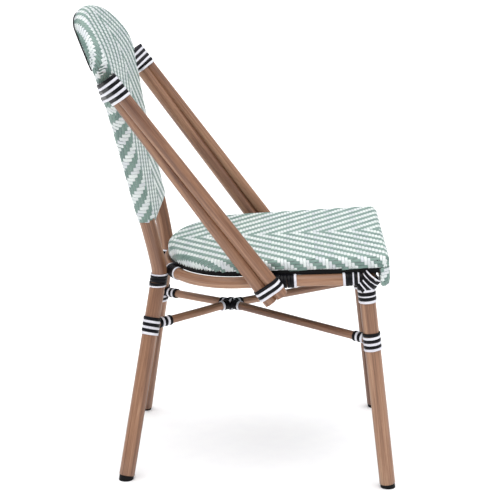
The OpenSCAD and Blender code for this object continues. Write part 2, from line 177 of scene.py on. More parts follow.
class Builder:
    """Collects swept strips into one mesh."""

    def __init__(self):
        self.verts, self.faces, self.coords, self.shade, self.mats = [], [], [], [], []
        self.count = 0

    def sweep(self, rings, coords, shade=0.0, material=0, closed=False):
        """rings: (n, m, 3) points. coords: (n, m, 3) pattern coordinates, in mm.

        A closed sweep joins its last ring to its first. An open one gets end caps."""
        n, m, _ = rings.shape
        base = self.count
        self.verts.append(rings.reshape(-1, 3))
        self.coords.append(coords.reshape(-1, 3))
        self.shade.append(np.full(n * m, shade))
        i = np.arange(n if closed else n - 1)[:, None]
        k = np.arange(m)[None, :]
        a, b = base + i * m + k, base + i * m + (k + 1) % m
        c, d = base + ((i + 1) % n) * m + (k + 1) % m, base + ((i + 1) % n) * m + k
        quads = np.stack(np.broadcast_arrays(a, b, c, d), -1).reshape(-1, 4)
        self.faces.extend(quads.tolist())
        count = len(quads)
        if not closed:
            self.faces.append([base + k for k in range(m)][::-1])
            self.faces.append([base + (n - 1) * m + k for k in range(m)])
            count += 2
        self.mats.extend([material] * count)
        self.count += n * m

    def piece(self, name, materials, slot, replaces):
        coords = np.vstack(self.coords) * MM
        return make_piece(name, np.vstack(self.verts), self.faces, materials, replaces,
                          {"grain": coords, "shade": np.concatenate(self.shade)}, self.mats)


def ring_frames(path, ref):
    """Directions along and across a path, kept level by a reference direction."""
    t = tangents(path)
    u = unit(np.cross(t, ref))
    return t, u, np.cross(u, t)


def circle_rings(centres, radii, s, frames, sides):
    """Rings about centres, with pattern coordinates that wrap without a seam. s is along them."""
    _, u, v = frames
    a = np.linspace(0, 2 * math.pi, sides, endpoint=False)
    radii = radii[:, None]
    x, y = radii * np.cos(a), radii * np.sin(a)
    rings = centres[:, None] + x[..., None] * u[:, None] - y[..., None] * v[:, None]
    return rings, np.stack(np.broadcast_arrays(x, y, s[:, None]), -1)


def tube(builder, path, r, ref, offset, sides=40, lip=0.8, bore=10.0):
    """Round tube with softened ends that open into a short bore. offset moves its grain."""
    path = np.asarray(path, float)
    a, b = path[0], path[-1]
    ta, tb = unit(path[1] - path[0]), unit(path[-1] - path[-2])
    start = [a + ta * bore, a, a, a + ta * lip]
    end = [b - tb * lip, b, b, b - tb * bore]
    if len(path) > 2:
        body = path[1:-1]
    else:
        body = resample(np.array([a + ta * 2 * lip, b - tb * 2 * lip]), 60)
    centres = np.vstack([start, body, end])
    radii = np.concatenate([[r - WALL, r - WALL, r - lip, r], np.full(len(body), r),
                            [r, r - lip, r - WALL, r - WALL]])
    # Frames come from the plain path, because the turned-in ends double back
    before = [a - ta * k for k in (3, 2, 1)]
    after = [b + tb * k for k in (1, 2, 3)]
    frames = ring_frames(np.vstack([before, a, body, b, after]), ref)
    s = np.concatenate([[-1, -1, 0, 0], lengths(np.vstack([centres[3], body]))[1:]])
    s = np.concatenate([s, s[-1] + np.array([1, 2, 3, 3])])
    rings, coords = circle_rings(centres, radii, s, frames, sides)
    builder.sweep(rings, coords + np.asarray(offset, float))


# ---- materials ----

def srgb(r, g, b):
    """Linear colour from the usual 0 to 255 values."""
    return tuple(((c / 255) / 12.92 if c <= 10 else ((c / 255 + 0.055) / 1.055) ** 2.4)
                 for c in (r, g, b)) + (1.0,)


class Nodes:
    """Short way to write a material's nodes. Values given to it are numbers or sockets."""

    def __init__(self, name):
        self.material = bpy.data.materials.new(name)
        self.material.use_nodes = True
        self.tree = self.material.node_tree
        self.shader = self.tree.nodes["Principled BSDF"]

    def add(self, kind, links=None, **settings):
        node = self.tree.nodes.new(kind)
        for key, value in settings.items():
            setattr(node, key, value)
        for key, value in (links or {}).items():
            self.put(node, key, value)
        return node

    def put(self, node, key, value):
        socket = node.inputs[key]
        if isinstance(value, bpy.types.NodeSocket):
            self.tree.links.new(value, socket)
        else:
            socket.default_value = value

    def grain(self):
        return self.add("ShaderNodeAttribute", attribute_name="grain").outputs["Vector"]

    def shade(self):
        return self.add("ShaderNodeAttribute", attribute_name="shade").outputs["Fac"]

    def scaled(self, vector, x, y, z):
        return self.add("ShaderNodeMapping", {"Vector": vector, "Scale": (x, y, z)}).outputs[0]

    def noise(self, vector, scale=1.0, detail=3.0, rough=0.5, distort=0.0):
        node = self.add("ShaderNodeTexNoise", {"Vector": vector, "Scale": scale, "Detail": detail,
                                               "Roughness": rough, "Distortion": distort})
        return node.outputs["Fac"]

    def math(self, op, a, b=0.0, clamp=False):
        node = self.add("ShaderNodeMath", {0: a, 1: b}, operation=op, use_clamp=clamp)
        return node.outputs[0]

    def span(self, value, a, b, c=0.0, d=1.0):
        node = self.add("ShaderNodeMapRange", {0: value, 1: a, 2: b, 3: c, 4: d})
        return node.outputs[0]

    def ramp(self, value, stops):
        node = self.add("ShaderNodeValToRGB", {0: value})
        bar = node.color_ramp.elements
        while len(bar) < len(stops):
            bar.new(0.5)
        for e, (at, colour) in zip(bar, stops):
            e.position, e.color = at, colour
        return node.outputs["Color"]

    def blend(self, factor, a, b, mode="MIX"):
        node = self.add("ShaderNodeMix", data_type="RGBA", blend_type=mode)
        self.put(node, "Factor", factor)
        ins = [s for s in node.inputs if s.type == "RGBA"]
        for socket, value in zip(ins, (a, b)):
            if isinstance(value, bpy.types.NodeSocket):
                self.tree.links.new(value, socket)
            else:
                socket.default_value = value
        return [s for s in node.outputs if s.type == "RGBA"][0]

    def bump(self, height, distance, strength=1.0):
        node = self.add("ShaderNodeBump", {"Height": height, "Distance": distance,
                                           "Strength": strength})
        return node.outputs[0]

    def surface(self, **values):
        for key, value in values.items():
            self.put(self.shader, key.replace("_", " "), value)
        return self.material


def wood_tube():
    """Wood grain printed on a coated tube: long streaks, fine pores, a soft gloss."""
    n = Nodes("wood_print")
    g = n.grain()
    broad = n.noise(n.scaled(g, 60, 60, 2.2), detail=2.0, distort=0.6)
    streak = n.noise(n.scaled(g, 230, 230, 5), detail=5.0, rough=0.62, distort=1.2)
    fine = n.noise(n.scaled(g, 900, 900, 22), detail=3.0, rough=0.6)
    tone = n.math("ADD", n.math("MULTIPLY", broad, 0.45), n.math("MULTIPLY", streak, 0.42))
    tone = n.math("ADD", tone, n.math("MULTIPLY", fine, 0.13))
    colour = n.ramp(tone, [
        (0.34, srgb(84, 56, 44)), (0.44, srgb(116, 81, 61)), (0.51, srgb(139, 101, 76)),
        (0.58, srgb(157, 118, 91)), (0.68, srgb(182, 145, 115))])
    pores = n.noise(n.scaled(g, 1300, 1300, 60), detail=1.0)
    colour = n.blend(n.span(pores, 0.62, 0.72, 0.0, 0.4), colour, srgb(104, 66, 50))
    bump = n.bump(n.math("ADD", streak, n.math("MULTIPLY", pores, -0.5)), 0.00012, 0.35)
    return n.surface(Base_Color=colour, Roughness=n.span(streak, 0.3, 0.7, 0.34, 0.46), Normal=bump)


def strand(name, lit, shaded, roughness, gloss=0.5):
    """Extruded plastic strand: fine grooves along it, and a tone that drifts at random between
    strands, from its lit colour to its colour in shade, so part of the drift is painted shade.
    """
    n = Nodes(name)
    g = n.grain()
    grooves = n.noise(n.scaled(g, 2600, 2600, 30), detail=2.0)
    drift = n.noise(n.scaled(g, 40, 40, 14), detail=2.0)
    tone = n.math("ADD", n.math("MULTIPLY", n.shade(), 0.5), n.math("MULTIPLY", drift, 1.0))
    tone = n.math("ADD", tone, n.math("MULTIPLY", grooves, 0.35))
    # Painted shade: low tones take the strand's colour in shade
    colour = n.ramp(n.span(tone, 0.3, 1.1), [(0.0, shaded), (1.0, lit)])
    rough = n.span(grooves, 0.3, 0.7, roughness - 0.05, roughness + 0.08)
    return n.surface(Base_Color=colour, Specular_IOR_Level=gloss, Roughness=rough,
                     Normal=n.bump(grooves, 0.0001, 0.5))


def coated(name, colour, light, roughness, grain_scale=1400.0, gloss=0.5):
    """Powder coat or moulded plastic: a fine orange-peel surface with a slight change of tone."""
    n = Nodes(name)
    place = n.add("ShaderNodeTexCoord").outputs["Object"]
    peel = n.noise(place, grain_scale, 2.0)
    drift = n.noise(place, 24.0, 2.0)
    tone = n.blend(n.span(drift, 0.3, 0.7), colour, light)
    rough = n.span(peel, 0.3, 0.7, roughness - 0.06, roughness + 0.06)
    return n.surface(Base_Color=tone, Specular_IOR_Level=gloss, Roughness=rough,
                     Normal=n.bump(peel, 0.00006, 0.5))


def zinc():
    """Zinc-plated steel with a faint spangle."""
    n = Nodes("zinc_steel")
    place = n.add("ShaderNodeTexCoord").outputs["Object"]
    spangle = n.noise(place, 300.0, 3.0)
    colour = n.ramp(spangle, [(0.3, srgb(150, 152, 156)), (0.7, srgb(206, 207, 210))])
    return n.surface(Base_Color=colour, Metallic=1.0,
                     Roughness=n.span(spangle, 0.3, 0.7, 0.25, 0.42))


WOOD = wood_tube()
# Each strand and cord gets its lit colour first and its colour in shade second; the second is
# painted shade
MINT = strand("mint_strand", srgb(117, 142, 133), srgb(88, 113, 108), 0.4)
WHITE = strand("white_strand", srgb(212, 219, 216), srgb(188, 191, 199), 0.4)
CORD_BLACK = strand("black_cord", srgb(13, 13, 18), srgb(6, 6, 9), 0.36, 0.14)
CORD_WHITE = strand("white_cord", srgb(220, 220, 226), srgb(200, 199, 209), 0.4)
FRAME_BLACK = coated("black_coat", srgb(7, 7, 8), srgb(12, 12, 14), 0.5, gloss=0.12)
CAP_BLACK = coated("black_cap", srgb(10, 10, 11), srgb(18, 18, 19), 0.6, 900.0, gloss=0.15)
PLUG_BROWN = coated("brown_plug", srgb(140, 96, 74), srgb(160, 112, 86), 0.5)
ZINC = zinc()
FLOOR = coated("pale_floor", srgb(249, 249, 250), srgb(252, 252, 252), 0.75, 200.0)

# Nodes that are shown as the CAD made them
for material, nodes in (
    (FRAME_BLACK, ("seat_frame", "seat_crossbar_front", "seat_crossbar_rear")),
    (ZINC, ("rail_sleeve", "seat_tabs", "seat_screws")),
    (PLUG_BROWN, ("stay_plugs",)),
    (CAP_BLACK, ("foot_front_left", "foot_front_right", "foot_rear_left", "foot_rear_right")),
):
    for node in nodes:
        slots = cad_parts[node].data.materials
        slots.clear()
        slots.append(material)

# ---- tubes ----

BACKWARD = np.array([0.0, 1.0, 0.0])
UPWARD = np.array([0.0, 0.0, 1.0])
# How finely the rail's bends are stepped, and the slit where its two ends meet on the sleeve
RAIL_FINE, RAIL_JOINT = 4, 0.5


def single_tube(name, path, r, ref, offset, node, sides=40):
    """One tube as a piece. Each tube has its own offset, so that no two show the same grain."""
    b = Builder()
    tube(b, path, r, ref, offset, sides)
    return b.piece(name, [WOOD], "tube", [node])


hoop_full = np.vstack([HOOP_HALF, (HOOP_HALF * MIRROR)[-2::-1]])
hoop_curve = smooth(hoop_full[1:-1], 12)
hoop_start = raised(FOOT_REAR, HOOP_HALF[1], FOOT_H)
hoop_path = np.vstack([
    resample(np.array([hoop_start, hoop_curve[0]]), 40)[:-1], hoop_curve,
    resample(np.array([hoop_curve[-1], hoop_start * MIRROR]), 40)[1:]])
single_tube("hoop_tube", hoop_path, MAIN_R, BACKWARD, (0, 0, 0), "back_hoop", 48)

for side, s in (("left", 1), ("right", -1)):
    m = np.array([s, 1.0, 1.0])
    start = raised(FOOT_FRONT, LEG_TOP, FOOT_H)
    # The leg stops just under the rail
    top = mix(FOOT_FRONT, LEG_TOP, 0.985)
    leg = resample(np.array([start, top]) * m, 40)
    single_tube(f"front_leg_tube_{side}", leg, MAIN_R, BACKWARD, (90, 0, 300 * s),
                f"front_leg_{side}")
    for which, ends, k in (("rear", STAY_REAR, 1), ("front", STAY_FRONT, 2)):
        single_tube(f"stay_tube_{side}_{which}", resample(ends * m, 30), STAY_R, BACKWARD,
                    (40 * k, 170 * s, 900 * k + 400 * s), f"stay_{side}_{which}")


def rail_outline():
    """Rail axis in the seat's plane, round from the joint behind the seat."""
    d = d_outline(RAIL_REAR_X, RAIL_FRONT_X, RAIL_BACK_Y, RAIL_FRONT_Y, RAIL_CORNER_R, RAIL_FINE)
    behind = REAR_STEPS * RAIL_FINE // 2
    d = np.vstack([d[behind:], d[:behind], [[RAIL_JOINT / 2, RAIL_BACK_Y]]])
    d[0] = [-RAIL_JOINT / 2, RAIL_BACK_Y]
    return np.column_stack([d, np.zeros(len(d))])


rail_path = seat_place(rail_outline())
single_tube("rail_tube", rail_path, RAIL_R, UPWARD, (300, 0, 0), "seat_rail", 32)


def front_leg_at(z):
    """Axis of the left front leg at a height."""
    return mix(FOOT_FRONT, LEG_TOP, z / LEG_TOP[2])


def rear_leg_at(z):
    """Axis of the left rear leg at a height."""
    return mix(FOOT_REAR, HOOP_HALF[1], z / HOOP_HALF[1][2])


# Space left where two pieces meet
GAP = 0.15


def arm_start(leg):
    """Where a stretcher's axis comes out of a leg's tube."""
    return raised(leg, CROSSING, MAIN_R + GAP)


rear_left, front_left = rear_leg_at(REAR_STRETCHER_Z), front_leg_at(FRONT_STRETCHER_Z)
rear_right, front_right = rear_left * MIRROR, front_left * MIRROR
through = smooth(np.array([
    arm_start(rear_right), mix(rear_right, CROSSING, 0.6), CROSSING,
    mix(front_left, CROSSING, 0.6), arm_start(front_left)]), 10)
single_tube("stretcher_tube_through", through, STRETCHER_R, UPWARD, (500, 0, 0),
            "stretcher_through", 28)
# The other stretcher is two halves, which end beside the through one
for side, leg, k in (("left", rear_left, 1), ("right", front_right, 2)):
    ends = np.array([arm_start(leg), raised(CROSSING, leg, STRETCHER_R + 1.8)])
    single_tube(f"stretcher_tube_{side}", resample(ends, 30), STRETCHER_R, UPWARD,
                (600 + 50 * k, 0, 0), f"stretcher_half_{side}", 28)

# ---- weaving ----

BATCH = 4000


def nearest(q, line, closed):
    """Foot, signed distance, place along and outward normal of a flat line's nearest point.

    Outward is to the right of the line's direction. A point beyond an open line's ends has a
    place below 0, or past the line's length."""
    a, b = (line, np.roll(line, -1, 0)) if closed else (line[:-1], line[1:])
    seg = b - a
    size = np.linalg.norm(seg, axis=1)
    keep = size > 1e-9
    a, seg, size = a[keep], seg[keep], size[keep]
    at = np.concatenate([[0], np.cumsum(size)])
    flat = np.stack([seg[:, 1], -seg[:, 0]], 1) / size[:, None]
    before = np.roll(flat, 1, 0) if closed else np.vstack([flat[:1], flat[:-1]])
    after = np.roll(flat, -1, 0) if closed else np.vstack([flat[1:], flat[-1:]])
    n0, n1 = unit(flat + before), unit(flat + after)
    feet, normals = np.zeros((len(q), 2)), np.zeros((len(q), 2))
    distances, places = np.zeros(len(q)), np.zeros(len(q))
    for lo in range(0, len(q), BATCH):
        now = slice(lo, lo + BATCH)
        p = q[now]
        rel = p[:, None] - a[None]
        t_raw = np.einsum("nkd,kd->nk", rel, seg) / size**2
        t = np.clip(t_raw, 0, 1)
        gap = np.linalg.norm(rel - t[..., None] * seg[None], axis=2)
        k = gap.argmin(1)
        rows = np.arange(len(p))
        tk = t[rows, k]
        foot = a[k] + tk[:, None] * seg[k]
        normal = unit(mix(n0[k], n1[k], tk[:, None]))
        side = np.sign(np.einsum("nd,nd->n", p - foot, normal))
        place = at[k] + tk * size[k]
        if not closed:
            raw, last = t_raw[rows, k] * size[k], len(a) - 1
            place = np.where((k == 0) & (raw < 0), raw, place)
            place = np.where((k == last) & (raw > size[k]), at[last] + raw, place)
        feet[now], distances[now] = foot, side * gap[rows, k]
        places[now], normals[now] = place, normal
    return feet, distances, places, normals


# Each ribbon goes over this many crossings, then under as many
OVER = 3
# Where a ribbon has its rings, as parts of a crossing
SAMPLES = (0.14, 0.5, 0.86)
# How much of its row a ribbon fills, and how far it may narrow or widen with the surface
FILL, STRETCH = 0.965, (0.3, 1.1)
# A jump of this part of a crossing between two regions ends a ribbon
TEAR = 0.9
# A level ribbon drops the rings where its surface turns less than this
STRAIGHT = 0.06
# Section of a ribbon, in halves of its width and thickness
RIBBON = np.array([(-1.0, -0.1), (-0.86, 0.7), (-0.4, 1.0), (0.4, 1.0), (0.86, 0.7), (1.0, -0.1),
                   (0.5, -0.9), (-0.5, -0.9)])


def weave(name, chart, pitch, span, thick, lift, node, phase):
    """Weaves two families of ribbons over a surface and makes a piece of each.

    chart maps flat pattern points to places, normals, a margin that is above 0 on the surface,
    and a region number. White ribbons run across and mint ones up the surface, three over and
    three under, one step along at each row, turned round at the middle column."""
    (u0, u1), (v0, v1) = span
    cols = np.arange(math.floor(u0 / pitch[0]), math.ceil(u1 / pitch[0]))
    rows = np.arange(math.floor(v0 / pitch[1]), math.ceil(v1 / pitch[1]))
    white_up = ((rows[:, None] + np.abs(cols)[None, :] + phase) % (2 * OVER)) < OVER
    families = (("white", WHITE, rows, cols, 0, white_up),
                ("mint", MINT, cols, rows, 1, ~white_up.T))
    for colour, material, lines, cells, along, up in families:
        b = Builder()
        across = 1 - along
        run = ((cells[:, None] + np.array(SAMPLES)[None]) * pitch[along]).ravel()
        # A pattern step of 1 mm, to find how far the surface stretches across the ribbon
        nudge = np.zeros(2)
        nudge[across] = 0.5
        for k, line in enumerate(lines):
            flat = np.zeros((len(run), 2))
            flat[:, along] = run
            flat[:, across] = (line + 0.5) * pitch[across]
            place, normal, margin, region = chart(flat)
            stretch = np.linalg.norm(chart(flat + nudge)[0] - chart(flat - nudge)[0], axis=1)
            high = np.where(np.repeat(up[k], len(SAMPLES)), lift, -lift)
            width = np.clip(stretch, *STRETCH) * pitch[across] * FILL
            lay_ribbons(b, place, normal, margin, region, high, width, thick, pitch[along], k)
        b.piece(f"{name}_{colour}", [material], "weave", [node])


def lay_ribbons(b, place, normal, margin, region, high, width, thick, cell, k):
    """The stretches of one ribbon that lie on the surface, each run out to the surface's edge."""
    on = np.concatenate([[False], margin > 0, [False]])
    steps = np.linalg.norm(np.diff(place, axis=0), axis=1)
    torn = np.concatenate([[False], (np.diff(region) != 0) & (steps > TEAR * cell), [False]])
    starts = [i for i in range(len(place)) if on[i + 1] and (not on[i] or torn[i])]
    for i0 in starts:
        i1 = i0 + 1
        while i1 < len(place) and on[i1 + 1] and not torn[i1]:
            i1 += 1
        if i1 - i0 < 3:
            continue
        p, n, h, w = place[i0:i1], normal[i0:i1], high[i0:i1], width[i0:i1]
        head = (p[0] - p[1]) * min(margin[i0] / max(steps[i0], 0.1), 1.0)
        tail = (p[-1] - p[-2]) * min(margin[i1 - 1] / max(steps[i1 - 2], 0.1), 1.0)
        p = np.vstack([p[0] + head, p, p[-1] + tail])
        n = np.vstack([n[:1], n, n[-1:]])
        h = np.concatenate([h[:1], h, h[-1:]])
        w = np.concatenate([w[:1], w, w[-1:]])
        bend = np.linalg.norm(n[2:] - n[:-2], axis=1)
        level = (h[2:] == h[1:-1]) & (h[:-2] == h[1:-1])
        keep = np.concatenate([[True], ~(level & (bend < STRAIGHT)), [True]])
        p, n, h, w = p[keep], n[keep], h[keep], w[keep]
        centre = p + n * h[:, None]
        t = tangents(centre)
        side = unit(np.cross(n, t))
        rise = unit(np.cross(t, side))
        x, y = RIBBON[None, :, 0] * 0.5 * w[:, None], RIBBON[None, :, 1] * 0.5 * thick
        rings = centre[:, None] + x[..., None] * side[:, None] + y[..., None] * rise[:, None]
        s = lengths(centre)[:, None]
        # Each ribbon takes its grain from another place
        coords = np.stack(np.broadcast_arrays(x, y + 9.0 * k, s + 37.0 * k), -1)
        b.sweep(rings, coords, shade=RNG.uniform(0, 1))


# The seat: flat top, rounded edge, side band, and the apron in front

SEAT_PITCH = (6.75, 5.95)
# Over the edge the rows close up
SEAT_SQUEEZE = 0.92
# The ribbons' middle surface lies this far inside the CAD skin
SKIN = 1.5
ROUND_R = EDGE_R - SKIN
SEAT_TOP = WEAVE_HIGH - SKIN
BAND = SEAT_TOP - ROUND_R - WEAVE_LOW
SEAT_REACH = ROUND_R * math.pi / 2 + BAND
fold_line = seat_outline(EDGE_R, 6)
APRON_FROM = -(SEAT_FRONT_Y - EDGE_R) - SEAT_REACH
APRON_FLAT = SEAT_FRONT_X - SEAT_CORNER_R
APRON_DROP = WEAVE_LOW - APRON_Z
APRON_TURN = APRON_R - SKIN
# How far the apron's ribbons run up behind it, and how far its ends follow the seat's corner
APRON_TUCK, APRON_ARC = 18, 56


def apron_plan():
    """Half of the apron's outline seen from above, from its straight front round to its back."""
    r, cy = SEAT_CORNER_R - SKIN, -SEAT_FRONT_Y + SEAT_CORNER_R
    a = np.radians(np.linspace(0, APRON_ARC, 12))
    arc = np.stack([APRON_FLAT + r * np.sin(a), cy - r * np.cos(a)], 1)
    back_y = -SEAT_FRONT_Y + APRON_R + APRON_TURN
    t = np.array([math.cos(a[-1]), math.sin(a[-1])])
    corner = arc[-1] + t * ((back_y - arc[-1][1]) / t[1])
    # The end runs on straight towards this corner, and rounds it
    turn = [arc[-1] + (corner - arc[-1]) * 0.35, mix(arc[-1], corner, 0.75) - [0.4, 0],
            corner - [2.5, 0.7], corner - [6, 0]]
    back = [[APRON_FLAT - 2, back_y], [APRON_FLAT - 30, back_y]]
    return resample(smooth(np.vstack([arc, turn, back]), 6), 0.5)


plan = apron_plan()
plan_s = lengths(plan)
plan_n = tangents(plan) @ np.array([[0.0, -1.0], [1.0, 0.0]])


def seat_chart(q):
    """The seat at flat pattern points. It folds over along the edge and goes on into the apron."""
    foot, d, _, n = nearest(q, fold_line, closed=True)
    d = np.where(d > 0, d * SEAT_SQUEEZE, d)
    z = np.full(len(q), SEAT_TOP)
    place = np.column_stack([q, z])
    normal = np.tile([0.0, 0.0, 1.0], (len(q), 1))
    out = d > 0
    phi = np.clip(d / ROUND_R, 0, math.pi / 2)
    down = np.maximum(d - ROUND_R * math.pi / 2, 0)
    level = foot + n * (ROUND_R * np.sin(phi))[:, None]
    drop = SEAT_TOP - ROUND_R * (1 - np.cos(phi)) - down
    folded = np.column_stack([level, drop])
    place[out] = folded[out]
    normal[out] = np.column_stack([n * np.sin(phi)[:, None], np.cos(phi)])[out]
    margin = SEAT_REACH - d
    region = np.zeros(len(q), int)
    low = q[:, 1] < APRON_FROM
    if low.any():
        p2, n2, m2, r2 = apron_chart(q[low])
        place[low], normal[low], margin[low], region[low] = p2, n2, m2, r2
    return seat_place(place), seat_turn(normal), margin, region


def apron_chart(q):
    """The apron: down the front, round the lower tube, and up behind it or round the ends."""
    sign = np.where(q[:, 0] < 0, -1.0, 1.0)
    a = np.abs(q[:, 0])
    h = APRON_FROM - q[:, 1]
    end = a > APRON_FLAT
    s = np.clip(a - APRON_FLAT, 0, plan_s[-1])
    px = np.where(end, np.interp(s, plan_s, plan[:, 0]), a)
    py = np.where(end, np.interp(s, plan_s, plan[:, 1]), plan[0, 1])
    nx = np.where(end, np.interp(s, plan_s, plan_n[:, 0]), 0.0)
    ny = np.where(end, np.interp(s, plan_s, plan_n[:, 1]), -1.0)
    turn = np.clip((h - APRON_DROP) / APRON_TURN, 0, math.pi)
    up = np.maximum(h - APRON_DROP - math.pi * APRON_TURN, 0)
    spine_x = np.minimum(px, APRON_FLAT + 6)
    spine_y = -SEAT_FRONT_Y + APRON_R
    x = spine_x + (px - spine_x) * np.cos(turn)
    y = spine_y + (py - spine_y) * np.cos(turn)
    z = np.where(h < APRON_DROP, WEAVE_LOW - h, APRON_Z - APRON_TURN * np.sin(turn) + up)
    place = np.column_stack([x * sign, y, z])
    normal = np.column_stack([nx * sign * np.cos(turn), ny * np.cos(turn), -np.sin(turn)])
    reach = APRON_DROP + APRON_TURN * math.pi * np.where(end, 0.5, 1) + np.where(end, 0, APRON_TUCK)
    margin = np.minimum(reach - h, APRON_FLAT + plan_s[-1] - a)
    return place, unit(normal), margin, 1 + end.astype(int)


weave("seat_weave", seat_chart, SEAT_PITCH, ((-300, 300), (APRON_FROM - 80, SEAT_BACK_Y + 40)),
      thick=1.2, lift=0.62, node="seat_weave", phase=3)

# The back: a sheet across the hoop's front, wrapped round the hoop and round the lower bar

BACK_PITCH = (7.0, 6.6)
# Round the hoop the columns close up
BACK_SQUEEZE = 0.8
WRAP_R, WRAP_TURN = MAIN_R + 1.0, math.radians(312)
BAR_Z, BAR_FORWARD, BAR_R = PANEL_LOW_Z + 13, 3.6, 8.0
BAR_WRAP_R, BAR_TURN = 12.2, math.radians(300)
# Margin of a point that no edge limits
FREE = 1e3

left_half = hoop_curve[: len(hoop_curve) // 2 + 1]
k0 = np.searchsorted(left_half[:, 2], PANEL_LOW_Z)
below, above = left_half[k0 - 1], left_half[k0]
panel_foot = mix(below, above, (PANEL_LOW_Z - below[2]) / (above[2] - below[2]))
panel_half = resample(np.vstack([panel_foot, left_half[k0:]]), 2.0)
profile_v = lengths(panel_half[:, 1:])
PANEL_TOP = profile_v[-1]
slope = unit(np.gradient(panel_half[:, 1:], axis=0))
# The anticlockwise outline, from the left foot of the panel over the crown to the right one
half_line = np.column_stack([panel_half[:, 0], profile_v])
hoop_line = np.vstack([half_line, (half_line * [-1, 1])[-2::-1]])
panel_ring = np.vstack([panel_half, (panel_half * MIRROR)[-2::-1]])
ring_s = lengths(hoop_line)
PANEL_X = half_line[0, 0]


def profile_at(v):
    """Middle line of the panel and its slope, at a height along the panel."""
    y = np.interp(v, profile_v, panel_half[:, 1])
    z = np.interp(v, profile_v, panel_half[:, 2])
    ty = np.interp(v, profile_v, slope[:, 0])
    tz = np.interp(v, profile_v, slope[:, 1])
    size = np.hypot(ty, tz)
    return y, z, ty / size, tz / size


def back_chart(q):
    """The back at flat pattern points: its front sheet, its wrap round the hoop and the bar."""
    foot, d, s, n = nearest(q, hoop_line, closed=False)
    d = np.where(d > 0, d * BACK_SQUEEZE, d)
    v = np.where(d > 0, np.interp(s, ring_s, hoop_line[:, 1]), q[:, 1])
    v = np.clip(v, 0, PANEL_TOP)
    y, z, ty, tz = profile_at(v)
    fwd = np.column_stack([np.zeros(len(q)), -tz, ty])
    place = np.column_stack([q[:, 0], y, z]) + WRAP_R * fwd
    normal = fwd.copy()
    margin = np.full(len(q), FREE)
    region = np.zeros(len(q), int)
    out = d > 0
    if out.any():
        so, do, no = s[out], d[out], n[out]
        core = np.stack([np.interp(so, ring_s, panel_ring[:, k]) for k in range(3)], 1)
        outward = np.column_stack([no[:, 0], no[:, 1] * ty[out], no[:, 1] * tz[out]])
        turn = do / WRAP_R
        normal[out] = np.cos(turn)[:, None] * fwd[out] + np.sin(turn)[:, None] * outward
        place[out] = core + WRAP_R * normal[out]
        margin[out] = np.minimum(WRAP_R * WRAP_TURN - do,
                                 np.minimum(so, ring_s[-1] - so) + 0.01)
        region[out] = 1
    low = (q[:, 1] < 0) & (d <= 0)
    low |= (q[:, 1] < 0) & (np.abs(q[:, 0]) < PANEL_X)
    if low.any():
        turn = -q[low, 1] / BAR_WRAP_R
        y0, z0, ty0, tz0 = (w[0] for w in profile_at(np.zeros(1)))
        f = np.array([0, -tz0, ty0])
        t = np.array([0, ty0, tz0])
        bar = np.array([0, y0, z0]) + (WRAP_R - BAR_WRAP_R) * f
        nb = np.cos(turn)[:, None] * f - np.sin(turn)[:, None] * t
        normal[low] = nb
        across = np.column_stack([q[low, 0], np.zeros((low.sum(), 2))])
        place[low] = across + bar + BAR_WRAP_R * nb
        # In front the ribbons reach the hoop's middle, and behind they stop beside its wrap
        clear = np.where(turn < 0.5, PANEL_X - 1, PANEL_X - WRAP_R - 2)
        margin[low] = np.minimum(BAR_WRAP_R * BAR_TURN + q[low, 1], clear - np.abs(q[low, 0]))
        region[low] = 2
    return place, normal, margin, region


weave("back_weave", back_chart, BACK_PITCH, ((-345, 345), (-80, PANEL_TOP + 130)),
      thick=1.0, lift=0.45, node="back_weave", phase=0)

# The bar inside the panel's lower edge
bar_x, bar_y = (np.interp(BAR_Z, left_half[:, 2], left_half[:, k]) for k in (0, 1))
bar_end = np.array([bar_x - WRAP_R - 1.3, bar_y - BAR_FORWARD, BAR_Z])
single_tube("back_bar_tube", resample(np.array([bar_end, bar_end * MIRROR]), 30), BAR_R, UPWARD,
            (900, 0, 0), "back_crossbar", 28)

# The cord that edges the wrap behind the crown
EDGING_R, EDGING_FROM_Z, EDGING_OUT = 1.3, 800, MAIN_R + 3.3


def back_edging():
    crown = hoop_curve[hoop_curve[:, 2] > EDGING_FROM_Z]
    t = tangents(crown)
    out = unit(np.cross(t, np.cross([0.0, 1.0, 0.25], t)))
    path = crown + out * EDGING_OUT
    b = Builder()
    b.sweep(*circle_rings(path, np.full(len(path), EDGING_R), lengths(path),
                          ring_frames(path, BACKWARD), 12))
    b.piece("back_edging", [CORD_BLACK], "cord", ["back_binding"])


back_edging()

# ---- lashings ----

# Section of one flat turn of cord, in halves of its width and thickness
TAPE = np.array([(-1.0, 0.0), (-0.8, 0.75), (-0.3, 1.0), (0.3, 1.0), (0.8, 0.75), (1.0, 0.0),
                 (0.7, -0.8), (-0.7, -0.8)])
CORD_THICK = 2.0
# Black, white, and narrow white
CORD_WIDTH = {"b": 6.6, "w": 5.2, "n": 3.0}
# The turns overlap a little
CLOSE = 0.98
TURN_SIDES = 64


def band(builder, origin, axis, rounds, width, colour, wobble=0.018):
    """One turn of cord round a bundle of rods: rounds lists (centre, radius) near the plane."""
    axis = unit(unit(axis) + RNG.normal(0, wobble, 3))
    e1 = unit(np.cross(axis, [0.31, 0.2, 0.93]))
    e2 = np.cross(axis, e1)
    a = np.linspace(0, 2 * math.pi, TURN_SIDES, endpoint=False)
    ray = np.cos(a)[:, None] * e1 + np.sin(a)[:, None] * e2
    centres = np.array([c - np.dot(c - origin, axis) * axis for c, _ in rounds])
    radii = np.array([r for _, r in rounds]) + GAP + CORD_THICK / 2
    outermost = (ray @ centres.T + radii).argmax(1)
    loop = centres[outermost] + radii[outermost, None] * ray
    x, y = TAPE[None, :, 0] * width / 2, TAPE[None, :, 1] * CORD_THICK / 2
    rings = loop[:, None] + x[..., None] * axis + y[..., None] * ray[:, None]
    coords = np.stack(np.broadcast_arrays(x, y + RNG.uniform(0, 90), lengths(loop)[:, None]), -1)
    builder.sweep(rings, coords, RNG.uniform(0, 1), material=0 if colour == "b" else 1, closed=True)


